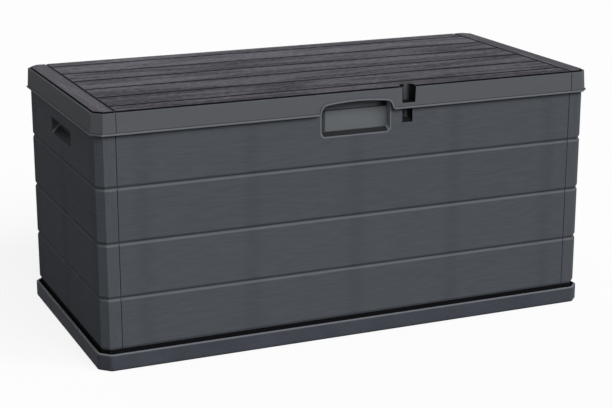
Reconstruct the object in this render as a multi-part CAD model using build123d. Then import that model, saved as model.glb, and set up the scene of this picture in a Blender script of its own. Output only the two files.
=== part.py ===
from build123d import *
import math
import os

# Outdoor storage box of moulded resin boards.
# X runs along the front, Y from front to back, Z up; the origin is under the middle of the base.

# Overall sizes
length = 1170.0
depth = 572.0
height = 552.0

# Base tray
plinth_height = 36.0
plinth_corner = 23.0
plinth_round = 10.0
tray_wall = 5.0
rim_round = 3.0
foot_round = 1.5
floor_wall = 4.0
gutter_level = 18.0
plateau_rise = 6.0
plateau_clearance = 0.5
tray_rib = 3.0
tray_rib_pitch_x = 97.0
tray_rib_pitch_y = 92.0
tray_boss_radius = 6.5

# Wall panels
panel_inset = 9.0
panel_wall = 4.0
body_corner = 15.0
shadow_gap = 7.0
tongue_step = 1.6
top_board = 111.0
board_pitch = 118.0
joint_width = 11.5
joint_depth = 2.8
rib_reach = 14.0
panel_rib = 3.0
panel_rib_pitch = 80.0

# Seams between the front, rear and side panels
end_strip = 41.5
seam_gap = 1.6
seam_depth = 3.4
flange_reach = 28.0
flange_wall = 4.0
corner_screw_inset = 20.0
corner_screw_rows = 3
corner_screw_end = 60.0

# Fixing feet of the panels
foot_width = 40.0
foot_reach = 36.0
foot_wall = 4.0
foot_screw_inset = 25.0
foot_end_x = 174.0
foot_end_y = 137.0

# Finger recess in the front panel
recess_margin = 5.0
recess_drop = 48.0
recess_depth = 15.0
recess_rise = 8.0
recess_radius = 9.0
recess_wall = 4.0
recess_back_rise = 5.0

# Carry pockets in the side panels
pocket_width = 160.0
pocket_drop = 31.0
pocket_height = 37.0
pocket_depth = 36.0
pocket_wall = 3.5
pocket_round = 4.0

# Lid
lid_wall = 3.0
lid_top_wall = 4.0
lid_rib_depth = 13.7
lid_rib = 3.0
lid_rib_pitch = 89.0
lid_corner = 20.0
skirt_height = 49.0
skirt_flare = 2.5
bead_height = 4.0
bead_reach = 2.0
bead_round = 1.6
lip_drop = 3.0
lip_width = 3.0
lip_round = 1.2
moat_width = 3.5
moat_depth = 3.0
shoulder_width = 12.0
shoulder_wall = 3.0
deck_pitch = 92.0
deck_groove_width = 7.0
deck_groove_depth = 2.4
skirt_groove_width = 2.0
skirt_groove_depth = 1.2
lid_rest_gap = 0.3

# Handle arch in the lid skirt and the curtain behind it
arch_width = 172.0
arch_rise = 26.0
arch_crown = 6.0
arch_lean = 7.0
arch_shoulder_radius = 15.0
arch_foot_radius = 8.0
arch_run_out = 24.0
curtain_wall = 3.0
curtain_gap = 2.0
curtain_side_gap = 2.0

# Padlock pockets in the lid and in the front panel
lock_margin = 37.0
lid_pocket_width = 36.0
lid_pocket_taper = 2.5
lid_pocket_depth = 26.0
lid_pocket_rise = 12.0
lock_wall = 3.5
lock_floor_wall = 4.0
lock_gap = 4.0
lock_side_gap = 3.5
panel_pocket_width = 25.0
panel_pocket_depth = 16.0
panel_pocket_drop = 33.0
panel_pocket_rise = 10.0
lock_slot_length = 14.0
lock_slot_width = 9.0
lock_slot_inset = 9.0

# Hinges on the rear wall
hinge_end = 134.0
hinge_reach = 10.5
hinge_drop = 8.0
hinge_plate = 3.0
bracket_width = 70.0
bracket_height = 44.0
bracket_top_gap = 4.0
cheek_width = 6.0
knuckle_length = 36.0
knuckle_radius = 5.5
knuckle_side_gap = 0.5
pin_radius = 2.5
pin_fit = 0.05
pin_head_radius = 4.0
pin_head = 2.0
leaf_width = 60.0
leaf_height = 40.0
leaf_gap = 0.5
leaf_pad_margin = 3.0
open_angle = 100.0
stop_clearance = 0.3
stop_width = 24.0
stop_height = 4.0

# Screws
screw_radius = 2.0
screw_fit = 0.1
screw_head_radius = 4.5
screw_head = 2.6
screw_bite = 9.0
screw_boss_radius = 6.5
leaf_screw_spread = 18.0
leaf_screw_below_top = 5.0
bracket_screw_up = 12.0

# Levels and half sizes that follow from the values above
half_x = length / 2
half_y = depth / 2
wall_x = half_x - panel_inset
wall_y = half_y - panel_inset
floor_level = gutter_level + plateau_rise
panel_bottom = plinth_height + shadow_gap
lid_underside = height - lid_top_wall
rib_bottom = lid_underside - lid_rib_depth
panel_top = rib_bottom - lid_rest_gap
skirt_bottom = height - skirt_height
lip_level = height - lip_drop
seam_x = wall_x - end_strip
joint_count = 1 + int((skirt_bottom - top_board - panel_bottom - joint_width) // board_pitch)
joint_levels = [skirt_bottom - top_board - i * board_pitch for i in reversed(range(joint_count))]
deck_side = int((half_y - shoulder_width + deck_pitch / 2) // deck_pitch)
deck_joints = [(i + 0.5) * deck_pitch for i in range(-deck_side, deck_side)]
recess_width = arch_width - 2 * recess_margin
recess_bottom = skirt_bottom - recess_drop
recess_back_top = skirt_bottom + recess_back_rise
pocket_top = skirt_bottom - pocket_drop
pocket_bottom = pocket_top - pocket_height
lock_x = arch_width / 2 + lock_margin
lid_pocket_floor = skirt_bottom + lid_pocket_rise
panel_pocket_bottom = skirt_bottom - panel_pocket_drop
foot_xs = [-seam_x + foot_end_x, 0, seam_x - foot_end_x]
foot_ys = [-wall_y + foot_end_y, wall_y - foot_end_y]
cheek_outer = knuckle_length / 2 + knuckle_side_gap + cheek_width
bracket_screw_spread = (cheek_outer + bracket_width / 2) / 2
hinge_offset = seam_x - hinge_end
hinge_xs = [-hinge_offset, 0, hinge_offset]
hinge_y = wall_y + hinge_reach
hinge_z = skirt_bottom - hinge_drop
leaf_plane = half_y
leaf_top = skirt_bottom + leaf_height
shelf_level = lid_pocket_floor - lock_floor_wall - lock_gap
tongue_setback = joint_depth + tongue_step
tongue_inner = tongue_setback + panel_wall
rib_root = (joint_depth + panel_wall) / 2


def slab(x_range, y_range, z_range):
    """Rectangular block between pairs of limits."""
    size = [b - a for a, b in (x_range, y_range, z_range)]
    middle = [(a + b) / 2 for a, b in (x_range, y_range, z_range)]
    return Pos(*middle) * Box(*size)


def cross_plane(x):
    """Upright plane across the box at x, with Y and Z as its axes."""
    return Plane(origin=(x, 0, 0), x_dir=(0, 1, 0), z_dir=(1, 0, 0))


def prism_x(points, x0, x1):
    """Closed outline in Y and Z, run along X."""
    face = cross_plane(x0) * make_face(Polyline(*points, close=True))
    return extrude(face, amount=x1 - x0, dir=(1, 0, 0))


def cut_corner_plan(reach_x, reach_y, corner, z):
    """Rectangle with four cut corners, at level z."""
    plan = Rectangle(2 * reach_x, 2 * reach_y)
    return Pos(0, 0, z) * chamfer(plan.vertices(), corner)


def plan_block(reach_x, reach_y, corner, inset, z0, z1):
    """Upright block on a cut-corner plan, drawn in by an even inset."""
    leg = corner - inset * (2 - math.sqrt(2))
    plan = cut_corner_plan(reach_x - inset, reach_y - inset, leg, z0)
    return extrude(plan, amount=z1 - z0, dir=(0, 0, 1))


def skirt_block(inset, z0, z1):
    """Block with the flare of the lid skirt, drawn in by an even inset."""
    leg = lid_corner - inset * (2 - math.sqrt(2))
    faces = []
    for z in (z0, z1):
        flare = skirt_flare * (z - skirt_bottom) / skirt_height + bead_reach + inset
        faces.append(cut_corner_plan(half_x - flare, half_y - flare, leg, z))
    return loft(faces, ruled=True)


def drill(centre, direction, radius, run):
    """Round cutter from a centre point along a direction."""
    axis = Plane(origin=centre, z_dir=direction)
    return extrude(axis * Circle(radius), amount=run)


def screw(centre, direction, grip):
    """Pan-head screw whose head seats at the centre point and whose shank runs along the direction."""
    seat = Plane(origin=centre, x_dir=(direction[1], direction[2], direction[0]), z_dir=direction)
    run = grip + screw_bite
    outline = [
        (0, -screw_head),
        (screw_head_radius * 0.6, -screw_head),
        (screw_head_radius, -screw_head * 0.4),
        (screw_head_radius, 0),
        (screw_radius, 0),
        (screw_radius, run - screw_radius),
        (0, run),
    ]
    section = Plane.XZ * make_face(Polyline(*outline, close=True))
    return seat * revolve(section, Axis.Z)


def wall_outline():
    """Section of a panel: inward distance from the wall face, and height."""
    outer = [
        (tongue_setback, gutter_level),
        (tongue_setback, panel_bottom),
        (joint_depth, panel_bottom),
        (0, panel_bottom + joint_width / 2),
    ]
    inner = [
        (tongue_inner, gutter_level),
        (tongue_inner, panel_bottom + panel_wall),
        (panel_wall, panel_bottom + panel_wall),
    ]
    for z in joint_levels:
        outer += [(0, z - joint_width / 2), (joint_depth, z), (0, z + joint_width / 2)]
        inner += [
            (panel_wall, z - joint_width / 2),
            (panel_wall + joint_depth, z),
            (panel_wall, z + joint_width / 2),
        ]
    outer += [(0, panel_top), (rib_reach, panel_top), (rib_reach, panel_top - panel_wall)]
    inner += [(panel_wall, panel_top - panel_wall)]
    return outer + inner[::-1]


def seam_flange(x0, x1):
    """Inward flange at a panel end, on the front wall."""
    return slab(
        (x0, x1),
        (-wall_y + seam_depth, -wall_y + flange_reach),
        (panel_bottom + panel_wall / 2, panel_top),
    )


def corner_screw_levels():
    """Heights of the screws along a seam."""
    low = panel_bottom + corner_screw_end
    high = panel_top - corner_screw_end
    step = (high - low) / (corner_screw_rows - 1)
    return [low + i * step for i in range(corner_screw_rows)]


def corner_holes(x0, x1):
    """Clearance holes for the seam screws of a front corner."""
    y = -wall_y + corner_screw_inset
    return [drill((x0, y, z), (1, 0, 0), screw_radius + screw_fit, x1 - x0) for z in corner_screw_levels()]


def straight_panel():
    """Plain front wall between the seams: boards, ribs, end flanges and fixing feet."""
    edge = seam_x - seam_gap / 2
    points = [(u - wall_y, z) for u, z in wall_outline()]
    panel = prism_x(points, -edge, edge)
    added = []
    count = int((seam_x - flange_wall) // panel_rib_pitch)
    for i in range(-count, count + 1):
        x = i * panel_rib_pitch
        added.append(
            slab(
                (x - panel_rib / 2, x + panel_rib / 2),
                (-wall_y + rib_root, -wall_y + rib_reach),
                (panel_bottom + panel_wall / 2, panel_top - panel_wall / 2),
            )
        )
    for side in (-1, 1):
        added.append(seam_flange(*sorted((side * (seam_x - flange_wall), side * seam_x))))
    holes = corner_holes(-seam_x - 1, -seam_x + flange_wall + 1)
    holes += corner_holes(seam_x - flange_wall - 1, seam_x + 1)
    for x in foot_xs:
        added.append(
            slab(
                (x - foot_width / 2, x + foot_width / 2),
                (-wall_y + tongue_inner - panel_wall / 2, -wall_y + foot_reach),
                (floor_level, floor_level + foot_wall),
            )
        )
        seat = (x, -wall_y + foot_screw_inset, floor_level - 1)
        holes.append(drill(seat, (0, 0, 1), screw_radius + screw_fit, foot_wall + 2))
    return panel + added - holes


def recess_plan(inset, grow, rise, top):
    """Finger recess outline on an upright plane at an inward distance from the front face."""
    low = recess_bottom + rise - grow
    tall = top - low
    outline = Pos(0, low + tall / 2) * Rectangle(recess_width + 2 * grow, tall)
    outline = fillet(outline.vertices().group_by(Axis.Y)[0], recess_radius + grow)
    upright = Plane(origin=(0, -wall_y + inset, 0), x_dir=(1, 0, 0), z_dir=(0, -1, 0))
    return upright * outline


def lock_plan(width, back, grow, front, z):
    """Half-round pocket plan between a front and a back limit, grown by an even margin, at level z."""
    radius = width / 2 + grow
    centre = back - width / 2
    bow = Pos(lock_x, centre) * Circle(radius)
    mouth = Pos(lock_x, (front + centre) / 2) * Rectangle(2 * radius, centre - front)
    ahead = Pos(lock_x, front - radius) * Rectangle(4 * radius, 2 * radius)
    return Pos(0, 0, z) * (bow + mouth - ahead)


def lock_slot(z0, z1):
    """Slot that the shackle drops through."""
    centre = Pos(lock_x, -wall_y + lock_slot_inset, z0)
    return extrude(centre * SlotOverall(lock_slot_length, lock_slot_width), amount=z1 - z0, dir=(0, 0, 1))


def front_wall(plain):
    """Front panel with the finger recess and the lower padlock pocket."""
    slope = recess_rise / recess_depth
    back = recess_depth + recess_wall
    panel = plain + loft(
        [
            recess_plan(rib_root, recess_wall, slope * rib_root, panel_top),
            recess_plan(back, recess_wall, slope * back, panel_top),
        ],
        ruled=True,
    )
    cavity_top = panel_top + 1
    panel -= loft(
        [
            recess_plan(-1, 0, -slope, cavity_top),
            recess_plan(recess_depth, 0, recess_rise, cavity_top),
        ],
        ruled=True,
    )
    panel -= slab(
        (-recess_width / 2, recess_width / 2),
        (-wall_y + recess_depth - 1, -wall_y + back + 1),
        (recess_back_top, cavity_top),
    )
    back_y = -wall_y + panel_pocket_depth
    low = panel_pocket_bottom - lock_wall
    housing = lock_plan(panel_pocket_width, back_y, lock_wall, -wall_y, low)
    panel += extrude(housing, amount=shelf_level - low, dir=(0, 0, 1))
    ceiling = shelf_level - lock_floor_wall
    mouth = lock_plan(panel_pocket_width, back_y, 0, -wall_y - 1, panel_pocket_bottom)
    cavity = extrude(mouth, amount=ceiling - panel_pocket_bottom, dir=(0, 0, 1))
    ramp_end = back_y + 1
    ramp_rise = panel_pocket_rise * (panel_pocket_depth + 1) / panel_pocket_depth
    ramp = [
        (-wall_y, panel_pocket_bottom),
        (ramp_end, panel_pocket_bottom + ramp_rise),
        (ramp_end, panel_pocket_bottom - 1),
        (-wall_y, panel_pocket_bottom - 1),
    ]
    cavity -= prism_x(ramp, lock_x - panel_pocket_width, lock_x + panel_pocket_width)
    panel -= cavity
    clear = lid_pocket_width / 2 + lock_wall + lock_side_gap
    panel -= slab(
        (lock_x - clear, lock_x + clear),
        (-wall_y - 1, back_y + lock_wall + 1),
        (shelf_level, panel_top + 1),
    )
    panel -= lock_slot(ceiling - 1, shelf_level + 1)
    return panel


def bracket_screw_points(x):
    """Seats of the bracket screws of the hinge at x."""
    z = hinge_z + hinge_drop - bracket_top_gap - bracket_height + bracket_screw_up
    y = wall_y + hinge_plate
    return [(x - bracket_screw_spread, y, z), (x + bracket_screw_spread, y, z)]


def leaf_screw_points(x):
    """Seats of the leaf screws of the hinge at x."""
    y = leaf_plane + hinge_plate
    z = leaf_top - leaf_screw_below_top
    return [(x - leaf_screw_spread, y, z), (x + leaf_screw_spread, y, z)]


def rear_wall(plain):
    """Rear panel with bosses behind the hinge brackets."""
    bosses = []
    holes = []
    for hinge_x in hinge_xs:
        for x, y, z in bracket_screw_points(hinge_x):
            root = (x, wall_y - rib_root, z)
            bosses.append(drill(root, (0, -1, 0), screw_boss_radius, rib_reach - rib_root))
            face = (x, wall_y + 1, z)
            holes.append(drill(face, (0, -1, 0), screw_radius + screw_fit, rib_reach + 2))
    return mirror(plain, about=Plane.XZ) + bosses - holes


def side_wall():
    """Left panel: one board section swept round both corners, with flanges, ribs and a carry pocket."""
    start = seam_x + seam_gap / 2
    path = Polyline(
        (-start, -wall_y, 0),
        (-wall_x + body_corner, -wall_y, 0),
        (-wall_x, -wall_y + body_corner, 0),
        (-wall_x, wall_y - body_corner, 0),
        (-wall_x + body_corner, wall_y, 0),
        (-start, wall_y, 0),
    )
    section_plane = Plane(origin=(-start, -wall_y, 0), x_dir=(0, -1, 0), z_dir=(-1, 0, 0))
    section = section_plane * make_face(Polyline(*[(-u, z) for u, z in wall_outline()], close=True))
    panel = sweep(section, path=path, transition=Transition.RIGHT)
    flange = seam_flange(-seam_x - flange_wall, -seam_x)
    for hole in corner_holes(-seam_x - flange_wall - 1, -seam_x + 1):
        flange -= hole
    added = [flange, mirror(flange, about=Plane.XZ)]
    count = int((wall_y - body_corner - rib_reach) // panel_rib_pitch)
    for i in range(-count, count + 1):
        y = i * panel_rib_pitch
        added.append(
            slab(
                (-wall_x + rib_root, -wall_x + rib_reach),
                (y - panel_rib / 2, y + panel_rib / 2),
                (panel_bottom + panel_wall / 2, panel_top - panel_wall / 2),
            )
        )
    slope = (pocket_top - pocket_bottom) / pocket_depth
    below = pocket_wall * math.hypot(1, slope)
    reach = pocket_depth + pocket_wall
    upright = Plane(origin=(-wall_x, 0, 0), x_dir=(1, 0, 0), z_dir=(0, -1, 0))
    shell = [
        (rib_root, pocket_bottom + slope * rib_root - below),
        (reach, pocket_bottom + slope * reach - below),
        (reach, pocket_top + pocket_wall),
        (rib_root, pocket_top + pocket_wall),
    ]
    shell_face = upright * make_face(Polyline(*shell, close=True))
    added.append(extrude(shell_face, amount=pocket_width / 2 + pocket_wall, both=True))
    hollow = [
        (-1, pocket_bottom - slope),
        (pocket_depth, pocket_top),
        (-1, pocket_top),
    ]
    hollow_face = upright * make_face(Polyline(*hollow, close=True))
    cavity = extrude(hollow_face, amount=pocket_width / 2, both=True)
    ends = [e for e in cavity.edges() if abs(abs(e.center().Y) - pocket_width / 2) < 0.01]
    slanted = [e for e in ends if abs(e.tangent_at(0.5).X) > 0.1 and abs(e.tangent_at(0.5).Z) > 0.1]
    removed = [fillet(slanted, pocket_round)]
    for y in foot_ys:
        added.append(
            slab(
                (-wall_x + tongue_inner - panel_wall / 2, -wall_x + foot_reach),
                (y - foot_width / 2, y + foot_width / 2),
                (floor_level, floor_level + foot_wall),
            )
        )
        seat = (-wall_x + foot_screw_inset, y, floor_level - 1)
        removed.append(drill(seat, (0, 0, 1), screw_radius + screw_fit, foot_wall + 2))
    return panel + added - removed


def foot_screw_points():
    """Seats of the screws that hold each panel to the tray."""
    z = floor_level + foot_wall
    y = wall_y - foot_screw_inset
    x = wall_x - foot_screw_inset
    return {
        "front": [(i, -y, z) for i in foot_xs],
        "rear": [(i, y, z) for i in foot_xs],
        "left": [(-x, i, z) for i in foot_ys],
        "right": [(x, i, z) for i in foot_ys],
    }


def plinth_plan(inset):
    """Plan of the plinth with cut and rounded corners, drawn in by an even inset."""
    leg = plinth_corner - inset * (2 - math.sqrt(2))
    plan = cut_corner_plan(half_x - inset, half_y - inset, leg, 0)
    return fillet(plan.vertices(), plinth_round - inset)


def tray():
    """Base tray: plinth with a rounded rim, gutter for the panel tongues, raised floor and underside ribs."""
    outer = extrude(plinth_plan(0), amount=plinth_height)
    outer = fillet(outer.faces().sort_by(Axis.Z)[-1].outer_wire().edges(), rim_round)
    outer = fillet(outer.faces().sort_by(Axis.Z)[0].outer_wire().edges(), foot_round)
    inner_plan = plinth_plan(tray_wall)
    shape = outer - Pos(0, 0, gutter_level) * extrude(inner_plan, amount=plinth_height)
    gap = tongue_inner + plateau_clearance
    shape += plan_block(wall_x, wall_y, body_corner, gap, gutter_level - floor_wall / 2, floor_level)
    hollow = extrude(inner_plan, amount=gutter_level - floor_wall)
    hollow += plan_block(wall_x, wall_y, body_corner, gap + floor_wall, 0, floor_level - floor_wall)
    ribs = []
    count_x = int((half_x - tray_wall) // tray_rib_pitch_x)
    for i in range(-count_x, count_x + 1):
        x = i * tray_rib_pitch_x
        ribs.append(slab((x - tray_rib / 2, x + tray_rib / 2), (-half_y, half_y), (0, floor_level)))
    count_y = int((half_y - tray_wall) // tray_rib_pitch_y)
    for i in range(-count_y, count_y + 1):
        y = i * tray_rib_pitch_y
        ribs.append(slab((-half_x, half_x), (y - tray_rib / 2, y + tray_rib / 2), (0, floor_level)))
    for points in foot_screw_points().values():
        for x, y, z in points:
            ribs.append(drill((x, y, 0), (0, 0, 1), tray_boss_radius, floor_level))
    shape -= hollow - ribs
    run = foot_wall + screw_bite + 1
    pilots = []
    for points in foot_screw_points().values():
        pilots += [drill(p, (0, 0, -1), screw_radius + screw_fit, run) for p in points]
    return shape - pilots


def arch_face():
    """Opening below the lid skirt: the straight edge with the handle arch rising from it."""
    half = arch_width / 2
    run = half + arch_run_out
    side_top = skirt_bottom + arch_rise - arch_crown
    outline = Polyline(
        (half - arch_lean, side_top),
        (half, skirt_bottom),
        (run, skirt_bottom),
        (run, skirt_bottom - skirt_height),
        (-run, skirt_bottom - skirt_height),
        (-run, skirt_bottom),
        (-half, skirt_bottom),
        (-half + arch_lean, side_top),
    )
    crown = ThreePointArc(
        (-half + arch_lean, side_top),
        (0, skirt_bottom + arch_rise),
        (half - arch_lean, side_top),
    )
    face = Sketch() + make_face([*outline.edges(), crown])
    feet = [v for v in face.vertices() if abs(v.Y - skirt_bottom) < 0.01 and abs(v.X) < half + 0.01]
    face = fillet(feet, arch_foot_radius)
    tops = [v for v in face.vertices() if abs(v.Y - side_top) < 0.01 and abs(v.X) < half]
    return fillet(tops, arch_shoulder_radius)


def bead():
    """Rounded bead along the lower edge of the skirt, following the handle arch."""
    top = skirt_bottom + bead_height
    ring = plan_block(half_x, half_y, lid_corner, 0, skirt_bottom, top)
    rims = ring.faces().sort_by(Axis.Z)[-1].edges() + ring.faces().sort_by(Axis.Z)[0].edges()
    ring = fillet(rims, bead_round)
    ring -= plan_block(half_x, half_y, lid_corner, bead_reach + lid_wall / 2, skirt_bottom - 1, top + 1)
    run = arch_width / 2 + arch_run_out - bead_height
    front = -half_y + bead_reach + lid_wall / 2
    ring -= slab((-run, run), (-half_y - 1, front + 1), (skirt_bottom - 1, top + 1))
    opening = arch_face()
    band = offset(opening, amount=bead_height) - opening
    tall = arch_rise + 2 * bead_height
    band = band & (Pos(0, skirt_bottom + tall / 2) * Rectangle(2 * run, tall))
    upright = Plane(origin=(0, -half_y, 0), x_dir=(1, 0, 0), z_dir=(0, -1, 0))
    strip = extrude(upright * band, amount=bead_reach + lid_wall / 2 + skirt_flare, dir=(0, 1, 0))
    face = strip.faces().sort_by(Axis.Y)[0]
    long_edges = [e for e in face.edges() if abs(abs(e.center().X) - run) > 0.01]
    return [ring, fillet(long_edges, bead_round)]


def lid_ribs():
    """Stiffening ribs under the deck and the blocks that take the hinge screws."""
    reach_x = half_x - bead_reach - skirt_flare - lid_wall / 2
    reach_y = half_y - bead_reach - skirt_flare - lid_wall / 2
    levels = (rib_bottom, lid_underside + lid_top_wall / 4)
    ribs = []
    count = int((half_x - shoulder_width) // lid_rib_pitch)
    for i in range(-count, count + 1):
        x = i * lid_rib_pitch
        ribs.append(slab((x - lid_rib / 2, x + lid_rib / 2), (-reach_y, reach_y), levels))
    for y in deck_joints:
        ribs.append(slab((-reach_x, reach_x), (y - lid_rib / 2, y + lid_rib / 2), levels))
    for hinge_x in hinge_xs:
        for x, y, z in leaf_screw_points(hinge_x):
            root = y - hinge_plate - screw_bite - screw_boss_radius
            ribs.append(slab((x - screw_boss_radius, x + screw_boss_radius), (root, reach_y), levels))
    return ribs


def deck_grooves():
    """Vee grooves between the deck boards and at the end boards, and the lines they leave in the skirt."""
    half = deck_groove_width / 2
    cuts = []
    for y in deck_joints:
        vee = [(y - half, height), (y + half, height), (y, height - deck_groove_depth)]
        cuts.append(prism_x(vee, -seam_x, seam_x))
    skin = skirt_block(-1, skirt_bottom + bead_height, lip_level + 1)
    skin -= skirt_block(skirt_groove_depth, skirt_bottom, height)
    for x in (-seam_x, seam_x):
        vee = Polyline((x - half, height), (x + half, height), (x, height - deck_groove_depth), close=True)
        cuts.append(extrude(Plane.XZ * make_face(vee), amount=half_y, both=True))
        strip = slab(
            (x - skirt_groove_width / 2, x + skirt_groove_width / 2),
            (-half_y, half_y),
            (skirt_bottom, height),
        )
        cuts += (skin & strip).solids()
    return cuts


def lid():
    """Lid moulding: boarded deck, flared skirt with bead and handle arch, ribs and padlock pocket."""
    deck_inset = lip_width + moat_width
    moat_floor = lip_level - moat_depth
    shell = skirt_block(0, skirt_bottom, height)
    shell -= skirt_block(-1, lip_level, height + 1) - skirt_block(deck_inset, lip_level - 1, height + 2)
    ledge = shell.faces().filter_by(Axis.Z).filter_by_position(Axis.Z, lip_level - 0.1, lip_level + 0.1)[0]
    shell = fillet(ledge.outer_wire().edges(), lip_round)
    cuts = [
        skirt_block(lip_width, moat_floor, height) - skirt_block(deck_inset, skirt_bottom, height + 1),
        skirt_block(lid_wall, skirt_bottom - 1, moat_floor - shoulder_wall),
        skirt_block(shoulder_width, skirt_bottom, lid_underside),
    ]
    upright = Plane(origin=(0, -half_y, 0), x_dir=(1, 0, 0), z_dir=(0, -1, 0))
    through = 2 * bead_reach + lid_wall + skirt_flare
    cuts.append(extrude(upright * arch_face(), amount=through, dir=(0, 1, 0)))
    shell -= cuts
    curtain_half = recess_width / 2 - curtain_side_gap
    curtain_y = -wall_y + recess_depth
    added = lid_ribs() + bead()
    added.append(
        slab(
            (-curtain_half, curtain_half),
            (curtain_y, curtain_y + curtain_wall),
            (recess_back_top + curtain_gap, lid_underside + lid_top_wall / 4),
        )
    )
    removed = deck_grooves()
    for hinge_x in hinge_xs:
        pad_half = leaf_width / 2 + leaf_pad_margin
        added.append(
            slab(
                (hinge_x - pad_half, hinge_x + pad_half),
                (half_y - bead_reach - lid_wall / 2 - skirt_flare, leaf_plane),
                (skirt_bottom, leaf_top + leaf_gap),
            )
        )
        for point in leaf_screw_points(hinge_x):
            run = hinge_plate + screw_bite + 1
            removed.append(drill(point, (0, -1, 0), screw_radius + screw_fit, run))
    front = -half_y + bead_reach + skirt_flare
    narrow = lid_pocket_width - 2 * lid_pocket_taper
    under = lid_pocket_floor - lock_floor_wall
    back = front + lid_pocket_depth
    root = front + lid_wall / 2
    housing = [
        lock_plan(narrow, back, lock_wall, root, under),
        lock_plan(lid_pocket_width, back, lock_wall, root, lid_underside + lid_top_wall / 4),
    ]
    added.append(loft(housing, ruled=True))
    mouth = -half_y - 1
    cavity = [
        lock_plan(narrow, back, 0, mouth, lid_pocket_floor),
        lock_plan(lid_pocket_width, back, 0, mouth, height + 1),
    ]
    removed.append(loft(cavity, ruled=True))
    removed.append(lock_slot(under - 1, lid_pocket_floor + 1))
    return shell + added - removed


def bracket(x):
    """Fixed half of a hinge: plate on the rear wall with two cheeks that hold the pin."""
    top = skirt_bottom - bracket_top_gap
    low = top - bracket_height
    plate = slab(
        (x - bracket_width / 2, x + bracket_width / 2),
        (wall_y, wall_y + hinge_plate),
        (low, top),
    )
    foot = Pos(wall_y + hinge_plate / 2, (low + bracket_screw_up + top) / 2) * Rectangle(
        hinge_plate, top - low - bracket_screw_up
    )
    boss = Pos(hinge_y, hinge_z) * Circle(knuckle_radius)
    cheek_face = make_hull((Sketch() + [foot, boss]).edges())
    for x0 in (x - cheek_outer, x + cheek_outer - cheek_width):
        plate += extrude(cross_plane(x0) * cheek_face, amount=cheek_width, dir=(1, 0, 0))
    plate -= drill((x - bracket_width, hinge_y, hinge_z), (1, 0, 0), pin_radius + pin_fit, 2 * bracket_width)
    for px, py, pz in bracket_screw_points(x):
        plate -= drill((px, py + 1, pz), (0, -1, 0), screw_radius + screw_fit, hinge_plate + 2)
    return plate


def leaf(x):
    """Moving half of a hinge: plate on the lid skirt, knuckle and stop tail."""
    half = knuckle_length / 2
    plate = slab(
        (x - leaf_width / 2, x + leaf_width / 2),
        (leaf_plane, leaf_plane + hinge_plate),
        (skirt_bottom - leaf_gap, leaf_top),
    )
    plate += slab(
        (x - half, x + half),
        (leaf_plane, leaf_plane + hinge_plate),
        (hinge_z, skirt_bottom),
    )
    plate += drill((x - half, hinge_y, hinge_z), (1, 0, 0), knuckle_radius, knuckle_length)
    reach = hinge_reach - hinge_plate - stop_clearance
    turned = Rot(open_angle, 0, 0) * slab(
        (-stop_width / 2, stop_width / 2),
        (-reach, 0),
        (-stop_height, 0),
    )
    plate += Pos(x, hinge_y, hinge_z) * turned
    plate -= drill((x - half - 1, hinge_y, hinge_z), (1, 0, 0), pin_radius + pin_fit, knuckle_length + 2)
    for px, py, pz in leaf_screw_points(x):
        plate -= drill((px, py + 1, pz), (0, -1, 0), screw_radius + screw_fit, hinge_plate + 2)
    return plate


def pin(x):
    """Hinge pin with a formed head at one end and a bevel at the other."""
    run = 2 * cheek_outer + pin_head
    shaft = drill((x - cheek_outer - pin_head, hinge_y, hinge_z), (1, 0, 0), pin_radius, run)
    shaft = chamfer(shaft.faces().sort_by(Axis.X)[0].edges(), pin_radius / 4)
    return shaft + drill((x + cheek_outer, hinge_y, hinge_z), (1, 0, 0), pin_head_radius, pin_head)


plain_panel = straight_panel()
left_panel = side_wall()
nodes = {
    "base_tray": tray(),
    "front_panel": front_wall(plain_panel),
    "rear_panel": rear_wall(plain_panel),
    "left_side_panel": left_panel,
    "right_side_panel": mirror(left_panel, about=Plane.YZ),
    "lid_shell": lid(),
}

for side, hinge_x in zip(("left", "centre", "right"), hinge_xs):
    nodes["hinge_bracket_" + side] = bracket(hinge_x)
    nodes["hinge_leaf_" + side] = leaf(hinge_x)
    nodes["hinge_pin_" + side] = pin(hinge_x)
    plate_screws = [screw(p, (0, -1, 0), hinge_plate) for p in bracket_screw_points(hinge_x)]
    nodes["bracket_screws_" + side] = Compound(children=plate_screws)
    lid_screws = [screw(p, (0, -1, 0), hinge_plate) for p in leaf_screw_points(hinge_x)]
    nodes["leaf_screws_" + side] = Compound(children=lid_screws)

for side, points in foot_screw_points().items():
    nodes["floor_screws_" + side] = Compound(children=[screw(p, (0, 0, -1), foot_wall) for p in points])

for face_name, face_sign in (("front", -1), ("rear", 1)):
    for side, sign in (("left", -1), ("right", 1)):
        seat_x = sign * (seam_x - flange_wall)
        seat_y = face_sign * (wall_y - corner_screw_inset)
        seats = [(seat_x, seat_y, z) for z in corner_screw_levels()]
        fixings = [screw(p, (sign, 0, 0), flange_wall) for p in seats]
        nodes["corner_screws_" + face_name + "_" + side] = Compound(children=fixings)

os.makedirs("parts", exist_ok=True)
for name, shape in nodes.items():
    export_step(shape, "parts/" + name + ".step")
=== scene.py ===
import math

import bmesh
import bpy
from bpy.props import FloatProperty, FloatVectorProperty, IntProperty, PointerProperty
from mathutils import Matrix, Vector


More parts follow.
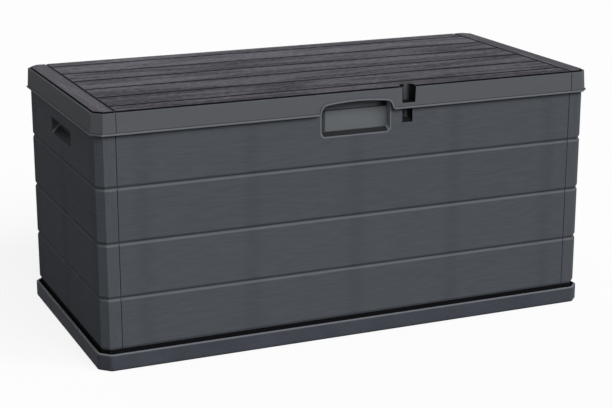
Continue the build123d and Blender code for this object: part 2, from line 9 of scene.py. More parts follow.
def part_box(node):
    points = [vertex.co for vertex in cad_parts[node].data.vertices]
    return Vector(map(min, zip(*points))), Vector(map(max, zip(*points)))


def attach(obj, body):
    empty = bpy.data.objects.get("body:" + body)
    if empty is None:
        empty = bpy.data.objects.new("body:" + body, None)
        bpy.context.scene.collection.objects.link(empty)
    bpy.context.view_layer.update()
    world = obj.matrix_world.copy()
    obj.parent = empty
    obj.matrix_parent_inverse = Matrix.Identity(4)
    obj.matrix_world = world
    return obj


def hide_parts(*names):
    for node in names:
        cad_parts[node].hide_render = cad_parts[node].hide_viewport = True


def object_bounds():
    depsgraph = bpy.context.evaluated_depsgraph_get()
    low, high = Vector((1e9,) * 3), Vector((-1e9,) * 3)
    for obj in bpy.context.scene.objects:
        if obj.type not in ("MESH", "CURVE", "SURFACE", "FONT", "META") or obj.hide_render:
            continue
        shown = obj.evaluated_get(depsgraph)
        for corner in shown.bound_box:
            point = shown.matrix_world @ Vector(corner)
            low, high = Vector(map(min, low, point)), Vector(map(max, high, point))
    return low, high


bl_info = {
    "name": "Deck Storage Box",
    "version": (1, 0, 0),
    "blender": (4, 5, 0),
    "location": "3D View > Sidebar > Deck Box",
    "description": "Finishes and fasteners of an outdoor storage box moulded as resin boards",
    "category": "Object",
}

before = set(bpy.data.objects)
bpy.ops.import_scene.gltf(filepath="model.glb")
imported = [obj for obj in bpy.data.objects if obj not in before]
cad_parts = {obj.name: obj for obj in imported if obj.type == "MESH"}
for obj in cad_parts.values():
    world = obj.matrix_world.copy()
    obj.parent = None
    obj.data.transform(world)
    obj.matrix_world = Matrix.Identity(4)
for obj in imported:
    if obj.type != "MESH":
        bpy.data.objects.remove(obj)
cad_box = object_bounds()

# Outer faces of the box; all sizes are in metres.
LID_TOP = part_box("lid_shell")[1].z
LID_REACH = (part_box("lid_shell")[1].x, -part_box("lid_shell")[0].y)
SEAM_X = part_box("front_panel")[1].x
WALL_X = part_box("right_side_panel")[1].x
WALL_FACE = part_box("front_panel")[0].y

# Lid: cut corner, bead along the skirt, sunk line round the deck and painted shade along the deck's joints.
LID_CORNER = 0.02
BEAD_TOP = 0.507
BEAD_CREASE = 0.002
BEAD_REACH = 0.0012
MOAT_INSET = 0.0078
MOAT_DEPTH = 0.0074
DECK_SKIN = (0.0005, 0.0001)
DECK_JOINT_SHADE = (0.008, 0.004)
SEAM_SHADE = 0.003

# Walls and plinth: the corner strips, and the painted shade and the dust with painted highlight of a joint
# above and below its level.
PLINTH_TOP = 0.036
PLINTH_RIM = (0.003, 0.001)
WALL_FOOT = 0.0434
WALL_SKIN = 0.0006
STRIP_INSET = 0.0125
SINK_HALF = 0.03
JOINT_ROOT = (-0.0006, 0.0026)
JOINT_BRINK = (-0.001, -0.0026)

# Finger recess: its mouth, its lip, and how far painted shade reaches from its foot and its left side.
RECESS_HALF = 0.081
RECESS_FOOT = 0.455
RECESS_ROUND = 0.009
RECESS_MOUTH = (-1.0, 0.0005)
RECESS_LIP = (-0.0002, 0.0026)
FOOT_SHADE = (0.0095, 0.0075)
SIDE_SHADE = (0.0165, 0.013)

# Painted shadow in the corner behind the right end of the handle arch, from the wall's face and the recess's
# end.
NOOK_DEPTH = (-0.002, 0.06)
NOOK_LEVEL = (0.48, 0.54)
NOOK_FADE = (-0.03, -0.012)
NOOK_END = 0.008

# Carry pocket in a side panel.
HOLD_HALF = 0.0805
HOLD_LEVEL = (0.4345, 0.4725)
HOLD_SKIN = 0.0008
HOLD_BRIM = 0.009

# Padlock pocket in the front wall and the lid, with its painted shade and painted light sideways from the
# middle.
LOCK_X = 0.123
WALL_LOCK_HALF = 0.0135
WALL_LOCK_LEVEL = (0.469, 0.6)
WALL_LOCK_SHADE = (-0.006, 0.004)
WALL_LOCK_STRIP = (0.0005, 0.01)
WALL_LOCK_FADE = (0.008, 0.004)
LID_LOCK_HALF = 0.019
LID_LOCK_DEPTH = (-0.2805, -0.25)
LID_LOCK_LEVEL = (0.513, LID_TOP - 0.0002)
LID_LOCK_SHADE = (-0.004, 0.004)
LID_LOCK_EDGE = (-0.02, -0.0135)
LID_LOCK_SILL = (0.51, 0.5165)
LID_LOCK_STRIP = (0.001, 0.014)
LID_LOCK_FADE = (0.0125, 0.006)

# Ranges of a normal's part along an axis.
RAMP = (0.3, 1.1)
SLOPE = (0.4, 1.1)
CHEEK = (0.5, 1.1)
SQUARE = (0.9, 1.1)
CREASE = (0.15, 0.9)
NOT_DOWN = (-0.5, 1.1)

# Pan-head screw: shares of the head's radius and height from the crown to the seat, and of the thread.
CROWN = 0.6
HEAD_PROFILE = ((0.82, 0.82), (0.95, 0.6), (1.0, 0.38), (1.0, 0.0))
CROSS_DEPTH = 0.35
CROSS_TAPER = 0.6
CORE = 0.78
CREST = 0.28
POINT = 0.06
ROWS_PER_TURN = 4

# Angles at which the screws stopped, in radians, and the angle from which an edge stays sharp.
SPIN_START = 2.3
SPIN_STEP = 0.9
SHARP_ANGLE = math.radians(35)

# Size of one mark of each pattern as drawn, and how far painted shade spreads out of a gap.
MOULD_GRIT = 0.0015
TRAY_GRIT = 0.0025
TRAY_CLOUD = 0.09
FIBRE = (0.003, 0.0008)
NYLON_CLOUD = 0.012
GRINDING = (0.0004, 0.008)
DULL_SPOT = 0.004
ZINC_PATCH = 0.0016
ZINC_CLOUD = 0.003
PAPER_TOOTH = 0.004
SHADE_REACH = 0.016
TRAY_SHADE_REACH = 0.014

# Numbers that tell the end boards from the rows of the deck, and how much finer their figure is.
END_BOARDS = (3.0, 31.0)
END_FINENESS = 2.2

# Floor, lamps and camera of the stage; the sensor is in millimetres.
FLOOR_HALF = 30.0
LAMP_DISTANCE = 4.0
SENSOR_WIDTH = 36.0
CAMERA_REACH = 200.0

SIDES = ("left", "centre", "right")
FACES = ("front", "rear")
WHITE = (1.0, 1.0, 1.0, 1.0)


def linear(shade):
    """Linear RGBA of an sRGB hex colour."""
    channels = [int(shade[i : i + 2], 16) / 255 for i in (0, 2, 4)]
    return tuple(c / 12.92 if c <= 0.04045 else ((c + 0.055) / 1.055) ** 2.4 for c in channels) + (1.0,)


def tint(name, description, shade):
    """Colour that a user may change."""
    return FloatVectorProperty(
        name=name, description=description, subtype="COLOR", size=4, min=0.0, max=1.0, default=linear(shade)
    )


def length(name, description, default, least=0.0):
    """Length that a user may change."""
    return FloatProperty(name=name, description=description, default=default, min=least, unit="LENGTH")


class DeckBoxFinishes(bpy.types.PropertyGroup):
    """Colours and grain sizes of the resin, nylon and steel"""

    wall_face: tint("Wall Face", "Colour of the wall boards", "4E5156")
    wall_grain: tint("Wall Grain", "Colour down in the grain of the wall boards", "464A4F")
    # Pale colour for worn edges, and for painted highlights and painted light on ledges, lips, rims and
    # pocket walls.
    pale_wear_and_highlight: tint("Rubbed Edge", "Colour of edges that hands and feet have rubbed", "7E8186")
    deck_face: tint("Deck Face", "Colour of the lid's boards", "5E5C64")
    deck_grain: tint("Deck Grain", "Colour down in the grain of the lid's boards", "2C2B30")
    # Painted shade: a near-black laid into sunk lines, pockets, gutters and gaps where shade falls.
    painted_shade: tint("Grime", "Colour of the dirt in sunk lines, pockets and gutters", "121214")
    skirt_face: tint("Skirt Face", "Colour of the lid's skirt", "54565A")
    plinth_face: tint("Plinth Face", "Colour of the base tray", "43464D")
    plinth_grit: tint("Plinth Grit", "Colour between the grains of the base tray", "393C43")
    # The back of the recess is painted this paler colour, as painted light.
    recess_lit_face: tint("Recess Face", "Colour of the polished back of the finger recess", "606366")
    nylon_face: tint("Hinge Nylon", "Colour of the hinge halves", "2C2D30")
    pin_steel: tint("Pin Steel", "Colour of the ground hinge pins", "B4B3B0")
    screw_zinc: tint("Screw Zinc", "Colour of the plating on the screws", "BFC3C6")
    board_pitch: length("Board Pitch", "Height from one wall joint to the next", 0.118, 0.02)
    joint_level: length("Joint Level", "Height of the lowest wall joint", 0.156)
    deck_pitch: length("Deck Pitch", "Width from one deck groove to the next", 0.092, 0.02)
    sink_pitch: length("Sink Pitch", "Spacing of the faint sink lines over the inner ribs", 0.24, 0.02)
    edge_radius: length("Edge Radius", "Radius that the moulds leave along outer edges", 0.0012)


class DeckBoxFasteners(bpy.types.PropertyGroup):
    """Sizes of the pan-head screws"""

    head_radius: length("Head Radius", "Radius of a screw head", 0.0045, 0.001)
    head_height: length("Head Height", "Height of a screw head above its seat", 0.0026, 0.0005)
    shank_radius: length("Shank Radius", "Radius over the thread", 0.002, 0.0005)
    thread_pitch: length("Thread Pitch", "Rise of the thread in one turn", 0.0016, 0.0004)
    cross_length: length("Cross Length", "Length of the driver cross from tip to tip", 0.0042, 0.0005)
    cross_width: length("Cross Width", "Width of each arm of the driver cross", 0.0011, 0.0002)
    facets: IntProperty(name="Facets", description="Flat faces round a screw", default=24, min=8)


class DeckBoxStudio(bpy.types.PropertyGroup):
    """Light, floor and camera of the stage"""

    floor_colour: tint("Floor", "Colour of the paper floor", "FBFBFB")
    floor_bounce: tint("Floor Bounce", "Colour of the floor in the light that it throws back", "A4A4A4")
    floor_wash: FloatProperty(
        name="Floor Wash",
        description="Share of plain white in the floor that the camera sees",
        subtype="FACTOR",
        default=0.85,
        min=0.0,
        max=1.0,
    )
    sky_level: FloatProperty(
        name="Room Light",
        description="Level of the light from all round",
        default=0.2,
        min=0.0,
    )
    key_level: FloatProperty(
        name="Key Light",
        description="Strength of the soft key light",
        default=1.4,
        min=0.0,
    )
    key_from: FloatVectorProperty(
        name="Key From",
        description="Direction that the key light comes from",
        subtype="DIRECTION",
        default=(0.65, -0.54, 0.54),
    )
    key_spread: FloatProperty(
        name="Key Spread",
        description="Width of the key light as an angle",
        subtype="ANGLE",
        default=math.radians(26),
        min=0.0,
    )
    top_level: FloatProperty(
        name="Top Light",
        description="Strength of the wide light from above",
        default=2.2,
        min=0.0,
    )
    top_from: FloatVectorProperty(
        name="Top From",
        description="Direction that the wide light comes from",
        subtype="DIRECTION",
        default=(0.1, -0.74, 0.6),
    )
    top_spread: FloatProperty(
        name="Top Spread",
        description="Width of the wide light as an angle",
        subtype="ANGLE",
        default=math.radians(40),
        min=0.0,
    )
    fill_level: FloatProperty(
        name="Fill Light",
        description="Strength of the low light from behind",
        default=1.9,
        min=0.0,
    )
    fill_from: FloatVectorProperty(
        name="Fill From",
        description="Direction that the low light comes from",
        subtype="DIRECTION",
        default=(-0.06, 0.99, 0.03),
    )
    fill_spread: FloatProperty(
        name="Fill Spread",
        description="Width of the low light as an angle",
        subtype="ANGLE",
        default=math.radians(24),
        min=0.0,
    )
    camera_at: FloatVectorProperty(
        name="Camera",
        description="Place of the camera",
        subtype="TRANSLATION",
        unit="LENGTH",
        default=(-1.3996, -3.2611, 1.2310),
    )
    camera_pitch: FloatProperty(
        name="Camera Pitch",
        description="Angle that the camera looks down",
        subtype="ANGLE",
        default=math.radians(15.796),
    )
    camera_yaw: FloatProperty(
        name="Camera Yaw",
        description="Angle that the camera is turned about the vertical",
        subtype="ANGLE",
        default=math.radians(-23.259),
    )
    camera_lens: FloatProperty(
        name="Lens",
        description="Focal length on a 36 mm wide frame",
        default=92.5,
        min=1.0,
        unit="CAMERA",
    )


def add(tree, kind, sockets=(), **settings):
    """Adds a shader node with its settings, fills or links its sockets and returns its outputs.

    Sockets come by name or number in a dictionary, or in the node's own order in a row: a Map Range
    takes its value, the two ends it comes from and the two it goes to.
    """
    node = tree.nodes.new("ShaderNode" + kind)
    for key, value in settings.items():
        setattr(node, key, value)
    for key, value in sockets.items() if isinstance(sockets, dict) else enumerate(sockets):
        if isinstance(value, bpy.types.NodeSocket):
            tree.links.new(value, node.inputs[key])
        else:
            node.inputs[key].default_value = value
    return node.outputs


def new_material(name):
    """An empty material and its points, whose place is in metres in the frame of the box."""
    material = bpy.data.materials.new(name)
    material.use_nodes = True
    tree = material.node_tree
    tree.nodes.clear()
    return material, tree, add(tree, "TexCoord")


def region(tree, *limits):
    """Share of a point in a region, which is the product of its limits.

    A limit is a share, or a value with the two ends between which it counts.
    """
    shares = []
    for limit in limits:
        if isinstance(limit, tuple):
            value, low, high = limit
            limit = add(tree, "Math", (value, (low + high) / 2, (high - low) / 2), operation="COMPARE")[0]
        shares.append(limit)
    whole = shares[0]
    for share in shares[1:]:
        whole = add(tree, "Math", (whole, share), operation="MULTIPLY")[0]
    return whole


def paint(tree, face, colour, *limits):
    """Lays a colour over a face within the limits of a region."""
    return add(tree, "Mix", {0: region(tree, *limits), 6: face, 7: colour}, data_type="RGBA")[2]


def wood_figure(tree, along, across, board, step, streak, growth, turns, mixed, span):
    """Wood figure cut into a mould: its height, and how far a point stands out of the pores, from 0 to 1.

    streak and growth are the length along and the width across the board of one mark, step tells the boards
    apart, turns is the number of rings, mixed their share, and span the range of heights that shows.
    """
    seed = add(tree, "Math", (board, step), operation="MULTIPLY")[0]
    at = add(tree, "CombineXYZ", (along, across, seed))[0]
    fine = add(tree, "VectorMath", (at, (1 / streak[0], 1 / streak[1], 1)), operation="MULTIPLY")[0]
    streaks = add(tree, "TexNoise", {"Vector": fine, "Scale": 1, "Detail": 3, "Roughness": 0.62})["Fac"]
    slow = add(tree, "VectorMath", (at, (1 / growth[0], 1 / growth[1], 1)), operation="MULTIPLY")[0]
    field = add(tree, "TexNoise", {"Vector": slow, "Scale": 1, "Detail": 2, "Roughness": 0.4})["Fac"]
    phase = add(tree, "Math", (field, 2 * math.pi * turns), operation="MULTIPLY")[0]
    wave = add(tree, "Math", (phase,), operation="SINE")[0]
    rings = add(tree, "MapRange", (wave, -1.0, 1.0))[0]
    figure = add(tree, "Mix", {0: mixed, 2: streaks, 3: rings})[0]
    # Each board is a little lighter or darker than the next.
    tone = add(tree, "TexWhiteNoise", {"W": board}, noise_dimensions="1D")["Value"]
    shade = add(tree, "MapRange", (tone, 0.0, 1.0, -0.12, 0.12))[0]
    spread = add(tree, "MapRange", (figure, *span))[0]
    return figure, add(tree, "Math", (spread, shade), operation="ADD", use_clamp=True)[0]


def seen_directly(tree):
    """1 for what the camera sees, straight or by gloss or through glass, and 0 for other light."""
    ray = add(tree, "LightPath")
    seen = add(tree, "Math", (ray["Is Camera Ray"], ray["Is Glossy Ray"]), operation="MAXIMUM")[0]
    return add(tree, "Math", (seen, ray["Is Transmission Ray"]), operation="MAXIMUM")[0]


def soft_edges(tree, radius):
    """Normal that rounds the edges over a radius, and how much a point lies on such an edge."""
    rounded = add(tree, "Bevel", {"Radius": radius}, samples=4)[0]
    flat = add(tree, "NewGeometry")["Normal"]
    facing = add(tree, "VectorMath", (rounded, flat), operation="DOT_PRODUCT")["Value"]
    return rounded, add(tree, "MapRange", (facing, 0.995, 0.8))[0]


def paint_gap_shade(tree, face, painted_shade, reach, alone):
    """Face with painted shade in pockets and narrow gaps, within a reach."""
    clear = add(tree, "AmbientOcclusion", {"Distance": reach}, samples=6, only_local=alone)["AO"]
    return paint(tree, face, painted_shade, add(tree, "MapRange", (clear, 0.72, 0.3, 0.0, 0.9))[0])


def surface(tree, height, relief, look):
    """Ends a material with a relief of some height and the look of its shader."""
    bump = add(tree, "Bump", relief | {"Height": height})[0]
    shader = add(tree, "BsdfPrincipled", look | {"Normal": bump})[0]
    add(tree, "OutputMaterial", {"Surface": shader})


def carry_pocket(tree, finishes, face, axes, facing):
    """Side wall with the painted shadow, painted light and painted highlights of its carry pocket, and the
    share of a point in that pocket.
    """
    x, y, z = axes
    reach_x = add(tree, "Math", (x,), operation="ABSOLUTE")[0]
    reach_y = add(tree, "Math", (y,), operation="ABSOLUTE")[0]
    turned = add(tree, "Math", (facing[1],), operation="ABSOLUTE")[0]
    hand = add(tree, "Math", (x,), operation="SIGN")[0]
    outward = add(tree, "Math", (facing[0], hand), operation="MULTIPLY")[0]
    deep = add(tree, "Math", (reach_x, WALL_X - HOLD_SKIN), operation="LESS_THAN")[0]
    hold = region(tree, (reach_y, -1.0, HOLD_HALF), (z, *HOLD_LEVEL), deep)
    # Painted shadow lies on the slope of the pocket.
    face = paint(tree, face, finishes.painted_shade, hold, (outward, *SLOPE), (facing[2], *SLOPE), 0.6)
    # The ends of the pocket are painted paler, as painted light.
    face = paint(tree, face, finishes.skirt_face, hold, (turned, *SQUARE))
    # Painted highlights lie in the creases at its ends and along its brim.
    crease = region(tree, hold, (turned, *CREASE))
    brim = region(tree, hold, (reach_y, HOLD_HALF - HOLD_BRIM, 1.0), (facing[2], *SLOPE))
    pocket_highlight = add(tree, "Math", (crease, brim), operation="MAXIMUM")[0]
    return paint(tree, face, finishes.pale_wear_and_highlight, pocket_highlight), hold


def finger_recess(tree, finishes, face, axes, facing, front, sunk):
    """Front wall with the painted light and painted shade of the finger recess, and the share of a point in
    that recess.
    """
    x, z = axes[0], axes[2]
    reach_x = add(tree, "Math", (x,), operation="ABSOLUTE")[0]
    turned = add(tree, "Math", (facing[0],), operation="ABSOLUTE")[0]
    # Distance from the mouth of the recess, below 0 inside it.
    wide = add(tree, "Math", (reach_x, RECESS_HALF - RECESS_ROUND), operation="SUBTRACT")[0]
    low = add(tree, "Math", (RECESS_FOOT + RECESS_ROUND, z), operation="SUBTRACT")[0]
    past = add(tree, "CombineXYZ", (wide, low))[0]
    past = add(tree, "VectorMath", (past, (0, 0, 0)), operation="MAXIMUM")[0]
    past = add(tree, "VectorMath", (past,), operation="LENGTH")["Value"]
    mouth = add(tree, "Math", (past, RECESS_ROUND), operation="SUBTRACT")[0]
    hollow = region(tree, (mouth, *RECESS_MOUTH), sunk)
    # The back of the recess is painted paler, as painted light, and painted shade lies along its foot
    # and its left side.
    face = paint(tree, face, finishes.recess_lit_face, hollow)
    foot = add(tree, "MapRange", (z, RECESS_FOOT + FOOT_SHADE[0], RECESS_FOOT + FOOT_SHADE[1], 0.0, 0.85))[0]
    side = add(tree, "MapRange", (x, SIDE_SHADE[0] - RECESS_HALF, SIDE_SHADE[1] - RECESS_HALF, 0.0, 0.7))[0]
    shading = add(tree, "Math", (foot, side), operation="MAXIMUM")[0]
    face = paint(tree, face, finishes.painted_shade, shading, hollow)
    # The side walls of the recess are painted paler, as painted light.
    face = paint(tree, face, finishes.pale_wear_and_highlight, hollow, (turned, *CHEEK))
    # A painted highlight runs round the lip of the recess.
    return paint(tree, face, finishes.pale_wear_and_highlight, (mouth, *RECESS_LIP), front, 0.45), hollow


def wall_lock(tree, finishes, face, axes, facing, sunk):
    """Front wall with the painted shade and painted light of the padlock pocket, and how much painted shade
    a point in that pocket has.
    """
    x, z = axes[0], axes[2]
    beside = add(tree, "Math", (x, LOCK_X), operation="SUBTRACT")[0]
    lock = region(tree, (beside, -WALL_LOCK_HALF, WALL_LOCK_HALF), sunk, (z, *WALL_LOCK_LEVEL))
    # Painted shade fills the pocket, deeper towards its right and on its floor.
    ramp = region(tree, (facing[2], *RAMP))
    shady = add(tree, "MapRange", (beside, *WALL_LOCK_SHADE, 0.25, 0.97))[0]
    shady = add(tree, "Math", (shady, ramp), operation="MAXIMUM")[0]
    lock_shade = region(tree, lock, shady)
    face = paint(tree, face, finishes.painted_shade, lock_shade)
    # A strip of the pocket's back is painted paler, as painted light.
    fade = add(tree, "MapRange", (beside, *WALL_LOCK_FADE, 0.0, 0.8))[0]
    level = add(tree, "Math", (1.0, ramp), operation="SUBTRACT")[0]
    return paint(tree, face, finishes.skirt_face, lock, fade, (beside, *WALL_LOCK_STRIP), level), lock_shade


def plank_material(name, finishes, side):
    """Wall boards with a wood figure along each board."""
    # Polypropylene, injection moulded in a wood-grained mould: a matte anthracite with a faint
    # lengthwise figure that is cut a little deeper than the face. Dust with a painted highlight lies on the
    # ledges of the joints, and painted shade fills the gutter behind the plinth.
    material, tree, point = new_material(name)
    place = point["Object"]
    axes = add(tree, "SeparateXYZ", (place,))
    facing = add(tree, "SeparateXYZ", (point["Normal"],))
    x, y, z = axes
    half = finishes.board_pitch / 2
    risen = add(tree, "Math", (z, finishes.joint_level), operation="SUBTRACT")[0]
    offset = add(tree, "Math", (risen, half, -half), operation="WRAP")[0]
    board = add(tree, "Math", (risen, finishes.board_pitch), operation="DIVIDE")[0]
    board = add(tree, "Math", (board,), operation="FLOOR")[0]
    along, across = x, z
    if side:
        # The strips that wrap round the corners carry an upright figure.
        reach_x = add(tree, "Math", (x,), operation="ABSOLUTE")[0]
        strip = add(tree, "Math", (reach_x, WALL_X - STRIP_INSET), operation="LESS_THAN")[0]
        along = add(tree, "Mix", {0: strip, 2: y, 3: z})[0]
        across = add(tree, "Mix", {0: strip, 2: z, 3: x})[0]
    # A real streak is under 1 mm wide; it is drawn at 3 mm so that it shows.
    figure, depth = wood_figure(
        tree,
        along,
        across,
        board,
        step=7.31,
        streak=(0.045, 0.003),
        growth=(0.7, 0.09),
        turns=26,
        mixed=0.12,
        span=(0.25, 0.75),
    )
    # Shallow sink lines stand over the inner ribs, drawn as painted shade a little darker than the face.
    middle = add(tree, "Math", (y if side else x, finishes.sink_pitch / 2), operation="PINGPONG")[0]
    sink = add(tree, "MapRange", (middle, 0.0, SINK_HALF, 0.4, 0.0), interpolation_type="SMOOTHSTEP")[0]
    lift = add(tree, "Math", (depth, sink), operation="SUBTRACT", use_clamp=True)[0]
    face = paint(tree, finishes.wall_grain, finishes.wall_face, lift)
    # Painted shade in pockets and narrow gaps.
    face = paint_gap_shade(tree, face, finishes.painted_shade, SHADE_REACH, True)
    # Painted shade lies in the root of a joint, and dust with a painted highlight on the outer half of its
    # ledge.
    face = paint(tree, face, finishes.painted_shade, (offset, *JOINT_ROOT), 0.42)
    ledge = add(tree, "MapRange", (facing[2], 0.15, 0.6, 0.0, 0.36))[0]
    dust_and_sheen = region(tree, ledge, add(tree, "MapRange", (offset, *JOINT_BRINK))[0])
    if side:
        face, hold = carry_pocket(tree, finishes, face, axes, facing)
        # Less dust and painted highlight lie on the ends of the box than on the strips.
        share = add(tree, "MapRange", (hold, 0.0, 1.0, 0.35, 0.0))[0]
        share = add(tree, "Math", (share, strip), operation="MAXIMUM")[0]
        dust_and_sheen = region(tree, dust_and_sheen, share)
    else:
        front = add(tree, "Math", (y, 0.0), operation="LESS_THAN")[0]
        inner = add(tree, "Math", (y, WALL_FACE + WALL_SKIN), operation="GREATER_THAN")[0]
        sunk = region(tree, inner, front)
        face, hollow = finger_recess(tree, finishes, face, axes, facing, front, sunk)
        face, lock_shade = wall_lock(tree, finishes, face, axes, facing, sunk)
        # The polished recess has no figure and neither dust nor painted highlight, and the padlock pocket
        # little of them.
        figure = add(tree, "Mix", {0: hollow, 2: figure, 3: 0.5})[0]
        clean = add(tree, "Math", (1.0, hollow), operation="SUBTRACT")[0]
        thin = add(tree, "Math", (1.0, lock_shade), operation="SUBTRACT")[0]
        thin = add(tree, "Math", (thin, 0.08), operation="MAXIMUM")[0]
        dust_and_sheen = region(tree, dust_and_sheen, clean, thin)
    # The dust with its painted highlight is laid on here.
    face = paint(tree, face, finishes.pale_wear_and_highlight, dust_and_sheen)
    # Painted shade fills the gutter below the foot of the wall.
    face = paint(tree, face, finishes.painted_shade, add(tree, "Math", (z, WALL_FOOT), operation="LESS_THAN")[0])
    rounded, rubbed_and_lit = soft_edges(tree, finishes.edge_radius)
    # Edges are painted paler, partly as wear and partly as painted highlight.
    colour = paint(tree, face, finishes.pale_wear_and_highlight, rubbed_and_lit, 0.3)
    # Spark-eroded mould texture, 0.6 mm in the real mould and drawn at 1.5 mm so that it shows.
    grit = add(tree, "TexNoise", {"Vector": place, "Scale": 1 / MOULD_GRIT, "Detail": 2})["Fac"]
    height = add(tree, "Math", (grit, 0.25, figure), operation="MULTIPLY_ADD")[0]
    gloss = add(tree, "MapRange", (depth, 0.0, 1.0, 0.84, 0.74))[0]
    surface(
        tree,
        height,
        {"Strength": 0.5, "Distance": 0.0003, "Normal": rounded},
        {"Base Color": colour, "Roughness": gloss, "IOR": 1.49, "Specular IOR Level": 0.01},
    )
    return material


def deck_boards(tree, finishes, axes, deck, end):
    """Colour, height and depth of the figure on the lid's boards."""
    x, y, z = axes
    row = add(tree, "Math", (y, finishes.deck_pitch), operation="DIVIDE")[0]
    row = add(tree, "Math", (row,), operation="ROUND")[0]
    cap = add(tree, "Math", (x,), operation="SIGN")[0]
    cap = add(tree, "Math", (cap, *END_BOARDS), operation="MULTIPLY_ADD")[0]
    board = add(tree, "Mix", {0: end, 2: row, 3: cap})[0]
    # The figure of the end boards is cut about twice as fine.
    fine_x, fine_y = (add(tree, "Math", (axis, END_FINENESS), operation="MULTIPLY")[0] for axis in (x, y))
    along = add(tree, "Mix", {0: end, 2: x, 3: fine_y})[0]
    sideways = add(tree, "Mix", {0: end, 2: y, 3: fine_x})[0]
    across = add(tree, "Mix", {0: deck, 2: z, 3: sideways})[0]
    # The pores are about 1 mm wide; they are drawn at 5 mm so that they show at a low angle.
    figure, depth = wood_figure(
        tree,
        along,
        across,
        board,
        step=6.91,
        streak=(0.016, 0.005),
        growth=(0.4, 0.05),
        turns=3,
        mixed=0.18,
        span=(0.31, 0.7),
    )
    # The end boards are evener and paler.
    depth = add(tree, "Math", (depth, region(tree, end, 0.42)), operation="MAXIMUM")[0]
    boards = paint(tree, finishes.deck_grain, finishes.deck_face, depth)
    # Painted shade runs out of the joints onto the edges of the boards, and along the seams of the end
    # boards.
    half = finishes.deck_pitch / 2
    joint = add(tree, "Math", (y, half), operation="PINGPONG")[0]
    joint = add(tree, "MapRange", (joint, half - DECK_JOINT_SHADE[0], half - DECK_JOINT_SHADE[1]))[0]
    inner = add(tree, "Math", (1.0, end), operation="SUBTRACT")[0]
    reach_x = add(tree, "Math", (x,), operation="ABSOLUTE")[0]
    seam = region(tree, (reach_x, SEAM_X - SEAM_SHADE, SEAM_X + SEAM_SHADE))
    groove_shade = add(tree, "Math", (region(tree, joint, inner), seam), operation="MAXIMUM")[0]
    return paint(tree, boards, finishes.painted_shade, groove_shade, 0.75), figure, depth


def lid_lock(tree, x, y, z):
    """Shares of painted shade and of the strip of painted light in the lid's padlock pocket."""
    beside = add(tree, "Math", (x, LOCK_X), operation="SUBTRACT")[0]
    lock = region(tree, (beside, -LID_LOCK_HALF, LID_LOCK_HALF), (y, *LID_LOCK_DEPTH), (z, *LID_LOCK_LEVEL))
    shady = add(tree, "MapRange", (beside, *LID_LOCK_SHADE, 0.1, 0.97))[0]
    for line in ((beside, *LID_LOCK_EDGE), (z, *LID_LOCK_SILL)):
        shady = add(tree, "Math", (shady, region(tree, line)), operation="MAXIMUM")[0]
    fade = add(tree, "MapRange", (beside, *LID_LOCK_FADE, 0.0, 0.85))[0]
    strip = region(tree, lock, (beside, *LID_LOCK_STRIP), (z, LID_LOCK_SILL[1], 1.0), fade)
    return region(tree, lock, shady), strip


